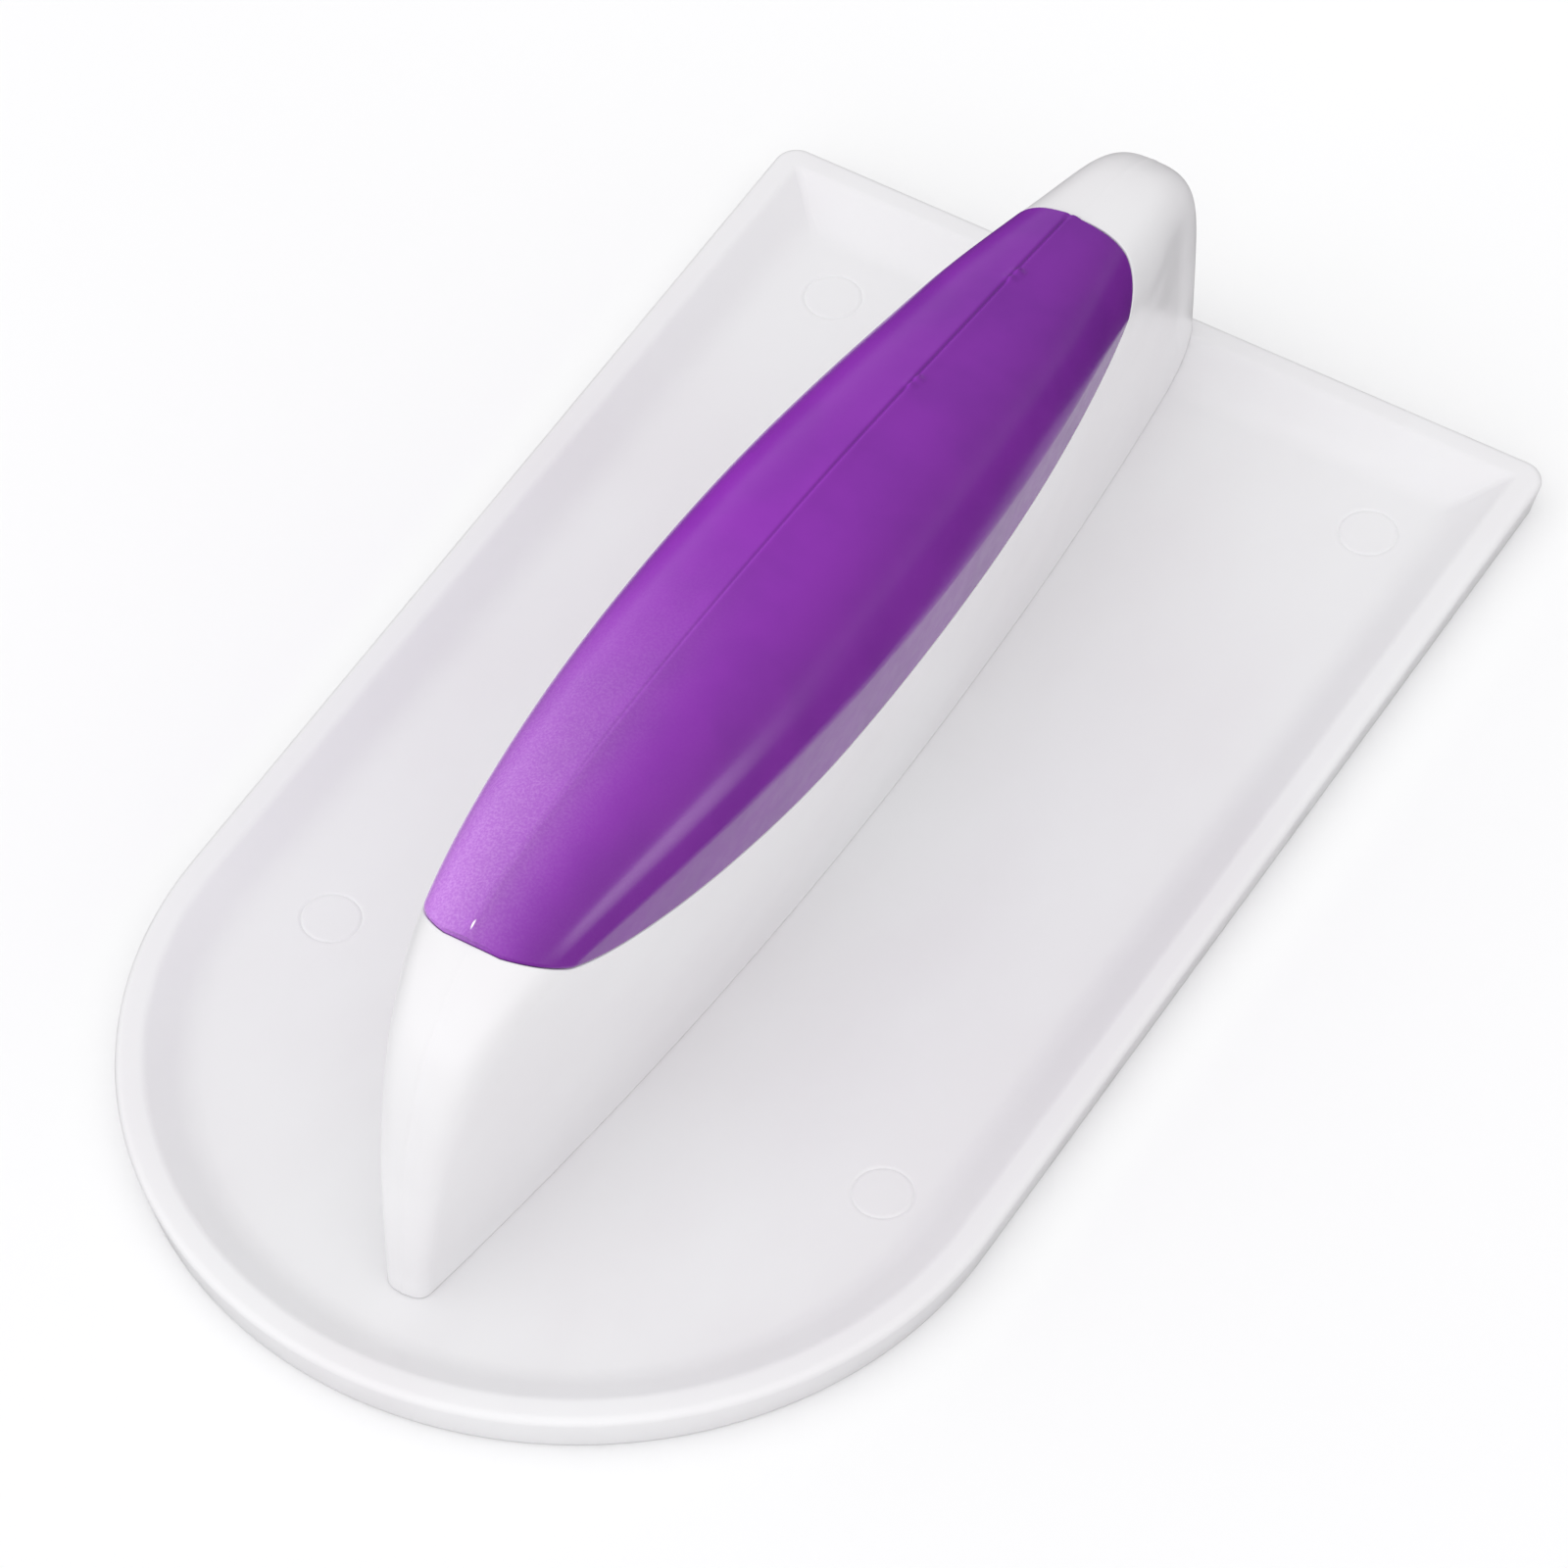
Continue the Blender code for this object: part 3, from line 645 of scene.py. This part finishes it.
class Nodes:
    """Adds nodes to one material and joins them up."""

    def __init__(self, name):
        self.material = bpy.data.materials.new(name)
        self.material.use_nodes = True
        self.tree = self.material.node_tree
        self.shader = self.tree.nodes["Principled BSDF"]
        self.place = self.tree.nodes.new("ShaderNodeTexCoord").outputs["Object"]

    def add(self, kind, inputs, **settings):
        node = self.tree.nodes.new(kind)
        for name, value in settings.items():
            setattr(node, name, value)
        for name, value in inputs.items():
            self.set(node, name, value)
        return node

    def set(self, node, name, value):
        if isinstance(value, bpy.types.NodeSocket):
            self.tree.links.new(value, node.inputs[name])
        else:
            node.inputs[name].default_value = value

    def scaled(self, scale):
        return self.add("ShaderNodeMapping", {"Vector": self.place, "Scale": scale}).outputs["Vector"]

    def noise(self, size, detail=2.0, stretch=(1.0, 1.0, 1.0)):
        """Soft noise, with features of about one size in metres."""
        vector = self.scaled(stretch)
        inputs = {"Vector": vector, "Scale": 1.0 / size, "Detail": detail, "Roughness": 0.55}
        return self.add("ShaderNodeTexNoise", inputs).outputs["Fac"]

    def spread(self, value, low, high, out_low, out_high):
        """Maps a value from one range to another, and clamps it."""
        inputs = {"Value": value, "From Min": low, "From Max": high, "To Min": out_low, "To Max": out_high}
        return self.add("ShaderNodeMapRange", inputs, interpolation_type="SMOOTHSTEP").outputs["Result"]

    def math(self, operation, first, second=0.0):
        node = self.add("ShaderNodeMath", {}, operation=operation)
        self.set(node, 0, first)
        self.set(node, 1, second)
        return node.outputs[0]

    def mix(self, factor, first, second):
        node = self.add("ShaderNodeMix", {}, data_type="RGBA")
        self.set(node, "Factor", factor)
        for index, color in ((6, first), (7, second)):
            self.set(node, index, color if isinstance(color, bpy.types.NodeSocket) else (*color, 1.0))
        return node.outputs[2]

    def near(self, centre, radii):
        """1 at a place and 0 beyond its radii."""
        vector = self.add(
            "ShaderNodeMapping",
            {"Vector": self.place, "Location": [-c / r for c, r in zip(centre, radii)],
             "Scale": [1.0 / r for r in radii]}).outputs["Vector"]
        length = self.add("ShaderNodeVectorMath", {0: vector}, operation="LENGTH").outputs["Value"]
        return self.spread(length, 0.35, 1.0, 1.0, 0.0)

    def bump(self, height, distance, strength, normal=None):
        inputs = {"Height": height, "Distance": distance, "Strength": strength}
        if normal is not None:
            inputs["Normal"] = normal
        return self.add("ShaderNodeBump", inputs).outputs["Normal"]


def specks(nodes, size, share, radius):
    """Rare small dots: one in each of a share of the cells, which have the given size."""
    distance = nodes.add("ShaderNodeTexVoronoi", {"Vector": nodes.place, "Scale": 1.0 / size})
    picked = nodes.spread(distance.outputs["Color"], 1.0 - share, 1.0 - 0.98 * share, 0.0, 1.0)
    dot = nodes.spread(distance.outputs["Distance"], 0.5 * radius / size, radius / size, 1.0, 0.0)
    return nodes.math("MULTIPLY", picked, dot)


def white_plastic(name, color, shade, roughness):
    """Moulded white plastic: faint flow clouding, fine grain, hairline scuffs and rare specks."""
    nodes = Nodes(name)
    clouds = nodes.noise(26.0 * MM, 3.0, (1.0, 0.6, 1.0))
    clouded = nodes.mix(nodes.spread(clouds, 0.35, 0.70, 0.0, 1.0), color, shade)
    dirt = nodes.math("MULTIPLY", specks(nodes, 9.0 * MM, 0.05, 0.30 * MM), 0.55)
    nodes.set(nodes.shader, "Base Color", nodes.mix(dirt, clouded, DIRT))
    scuffs = nodes.noise(0.9 * MM, 3.0, (1.0, 0.05, 1.0))
    scuffs = nodes.spread(scuffs, 0.60, 0.78, 0.0, 1.0)
    matte = nodes.spread(nodes.noise(7.0 * MM), 0.3, 0.7, roughness - 0.05, roughness + 0.05)
    nodes.set(nodes.shader, "Roughness", nodes.math("ADD", matte, nodes.math("MULTIPLY", scuffs, 0.08)))
    grain = nodes.bump(nodes.noise(0.35 * MM, 2.0), 0.010 * MM, 0.35)
    waves = nodes.bump(nodes.noise(9.0 * MM, 1.0), 0.12 * MM, 0.25, grain)
    nodes.set(nodes.shader, "Normal", waves)
    nodes.set(nodes.shader, "Specular IOR Level", 0.5)
    return nodes.material


def soft_touch(name):
    """Purple soft-touch skin: mottling, fine grain, painted shade on the rear, dust at the front with a
    painted sheen on its left, and one chip.
    """
    nodes = Nodes(name)
    place = nodes.add("ShaderNodeSeparateXYZ", {"Vector": nodes.place}).outputs
    patches = nodes.spread(nodes.noise(9.0 * MM, 3.0), 0.35, 0.70, 0.0, 0.35)
    # Painted shade: the skin darkens towards the rear, in place of the key light falling off.
    rear = nodes.spread(place["Y"], 0.0, 60.0 * MM, 0.0, 0.65)
    body = nodes.mix(nodes.math("ADD", patches, rear), GRIP_COLOR, GRIP_MOTTLE_AND_REAR_SHADE)
    # Dust towards the front, laid on more strongly on the left side: partly real dust, partly a painted
    # sheen.
    front = nodes.spread(place["Y"], -52.0 * MM, 5.0 * MM, 1.0, 0.0)
    left = nodes.spread(place["X"], -4.5 * MM, 5.0 * MM, 1.0, 0.08)
    grain = nodes.noise(0.24 * MM, 2.0)
    dust_and_sheen = nodes.math("MULTIPLY", nodes.spread(grain, 0.30, 0.80, 0.22, 0.38), front)
    dust_and_sheen = nodes.math("MULTIPLY", dust_and_sheen, left)
    body = nodes.mix(dust_and_sheen, body, GRIP_DUST_AND_SHEEN)
    chip = nodes.near(CHIP_CENTRE, CHIP_RADII)
    body = nodes.mix(nodes.math("MULTIPLY", chip, 0.85), body, CHIP_COLOR)
    nodes.set(nodes.shader, "Base Color", body)
    rough = nodes.spread(nodes.noise(2.5 * MM, 3.0), 0.3, 0.7, GRIP_ROUGHNESS - 0.04, GRIP_ROUGHNESS + 0.06)
    nodes.set(nodes.shader, "Roughness", rough)
    fine = nodes.bump(grain, 0.012 * MM, nodes.math("ADD", nodes.math("MULTIPLY", front, 0.20), 0.20))
    nodes.set(nodes.shader, "Normal", nodes.bump(nodes.noise(1.6 * MM, 2.0), 0.015 * MM, 0.20, fine))
    nodes.set(nodes.shader, "Specular IOR Level", 0.05)
    nodes.set(nodes.shader, "Coat Weight", 1.0)
    nodes.set(nodes.shader, "Coat Roughness", 0.22)
    nodes.set(nodes.shader, "Coat IOR", 1.3)
    return nodes.material


def floor_material():
    nodes = Nodes("pale_floor")
    cloud = nodes.spread(nodes.noise(0.25, 2.0), 0.3, 0.7, 0.0, 1.0)
    nodes.set(nodes.shader, "Base Color", nodes.mix(cloud, *FLOOR_COLORS))
    nodes.set(nodes.shader, "Roughness", 0.9)
    return nodes.material


# Set --------------------------------------------------------------------------------------------

def build_floor():
    bm = bmesh.new()
    corners = [(-1.0, -1.0), (1.0, -1.0), (1.0, 1.0), (-1.0, 1.0)]
    bm.faces.new([bm.verts.new((x * FLOOR_REACH, y * FLOOR_REACH, -FLOOR_DROP)) for x, y in corners])
    floor = object_from_bmesh("floor", bm, 30.0)
    floor.data.materials.append(floor_material())
    floor.visible_glossy = False


def add_soft_light(name, azimuth, elevation, distance, size, radiance):
    """A square light that faces the origin. Azimuth 0 is in front, 90 on the right."""
    a = math.radians(azimuth)
    e = math.radians(elevation)
    direction = Vector((math.sin(a) * math.cos(e), -math.cos(a) * math.cos(e), math.sin(e)))
    data = bpy.data.lights.new(name, "AREA")
    data.size = size
    data.energy = radiance * math.pi * size * size
    light = bpy.data.objects.new(name, data)
    light.location = direction * distance
    light.rotation_mode = "QUATERNION"
    light.rotation_quaternion = direction.to_track_quat("Z", "Y")
    light.visible_camera = False
    bpy.context.scene.collection.objects.link(light)
    return light


def build_lights(grip):
    """Two lights on the grip alone: a soft key light, and one seen only in its reflections."""
    only_grip = bpy.data.collections.new("only_grip")
    only_grip.objects.link(grip)
    lights = (("grip_key", GRIP_KEY, True), ("shoulder_streak", SHOULDER_STREAK, False))
    for name, settings, diffuse in lights:
        light = add_soft_light(name, **settings)
        light.visible_diffuse = diffuse
        light.visible_glossy = not diffuse
        light.light_linking.receiver_collection = only_grip


def build_world():
    """Soft light, brighter in front and above. Its dim horizon looks pale to the camera alone."""
    world = bpy.data.worlds.new("studio")
    world.use_nodes = True
    tree = world.node_tree
    background = tree.nodes["Background"]
    background.inputs["Color"].default_value = (1.0, 1.0, 1.0, 1.0)
    coordinates = tree.nodes.new("ShaderNodeTexCoord")
    gradient = tree.nodes.new("ShaderNodeVectorMath")
    gradient.operation = "DOT_PRODUCT"
    gradient.inputs[1].default_value = SKY_GRADIENT
    tree.links.new(coordinates.outputs["Generated"], gradient.inputs[0])
    level = tree.nodes.new("ShaderNodeMath")
    level.operation = "ADD"
    level.inputs[1].default_value = SKY_LEVEL
    tree.links.new(gradient.outputs["Value"], level.inputs[0])
    height = tree.nodes.new("ShaderNodeSeparateXYZ")
    tree.links.new(coordinates.outputs["Generated"], height.inputs[0])
    share = tree.nodes.new("ShaderNodeMapRange")
    share.inputs["From Min"].default_value = -1.0
    share.inputs["From Max"].default_value = 1.0
    tree.links.new(height.outputs["Z"], share.inputs["Value"])
    bands = tree.nodes.new("ShaderNodeValToRGB")
    bands.color_ramp.interpolation = "EASE"
    for index, (z, value) in enumerate(SKY_BANDS):
        stops = bands.color_ramp.elements
        stop = stops[index] if index < 2 else stops.new((z + 1.0) / 2.0)
        stop.position = (z + 1.0) / 2.0
        stop.color = (value, value, value, 1.0)
    tree.links.new(share.outputs["Result"], bands.inputs["Fac"])
    product = tree.nodes.new("ShaderNodeMath")
    product.operation = "MULTIPLY"
    tree.links.new(level.outputs[0], product.inputs[0])
    tree.links.new(bands.outputs["Color"], product.inputs[1])
    shown = tree.nodes.new("ShaderNodeMix")
    shown.inputs["B"].default_value = BACKDROP_LEVEL
    tree.links.new(tree.nodes.new("ShaderNodeLightPath").outputs["Is Camera Ray"], shown.inputs["Factor"])
    tree.links.new(product.outputs[0], shown.inputs["A"])
    tree.links.new(shown.outputs["Result"], background.inputs["Strength"])
    bpy.context.scene.world = world


def build_camera():
    back = Vector((
        math.sin(CAMERA_AZIMUTH) * math.cos(CAMERA_ELEVATION),
        -math.cos(CAMERA_AZIMUTH) * math.cos(CAMERA_ELEVATION),
        math.sin(CAMERA_ELEVATION)))
    data = bpy.data.cameras.new("camera")
    data.lens = CAMERA_LENS
    data.sensor_width = CAMERA_SENSOR
    data.clip_end = 20.0
    camera = bpy.data.objects.new("camera", data)
    right = Vector((0.0, 0.0, 1.0)).cross(back).normalized()
    up = back.cross(right)
    turn = Matrix((right, up, back)).transposed().to_4x4()
    camera.matrix_world = Matrix.Translation(CAMERA_AIM + back * CAMERA_DISTANCE) @ turn
    bpy.context.scene.collection.objects.link(camera)
    bpy.context.scene.camera = camera


plate = build_plate()
handle = build_handle()
grip = build_grip()
plate.data.materials.append(white_plastic("plate_white", WHITE, WHITE_SHADE, PLATE_ROUGHNESS))
handle.data.materials.append(white_plastic("handle_white", WHITE, WHITE_SHADE, HANDLE_ROUGHNESS))
grip.data.materials.append(soft_touch("grip_purple"))

build_floor()
build_world()
build_lights(grip)
build_camera()
bpy.context.scene.view_settings.view_transform = "Standard"
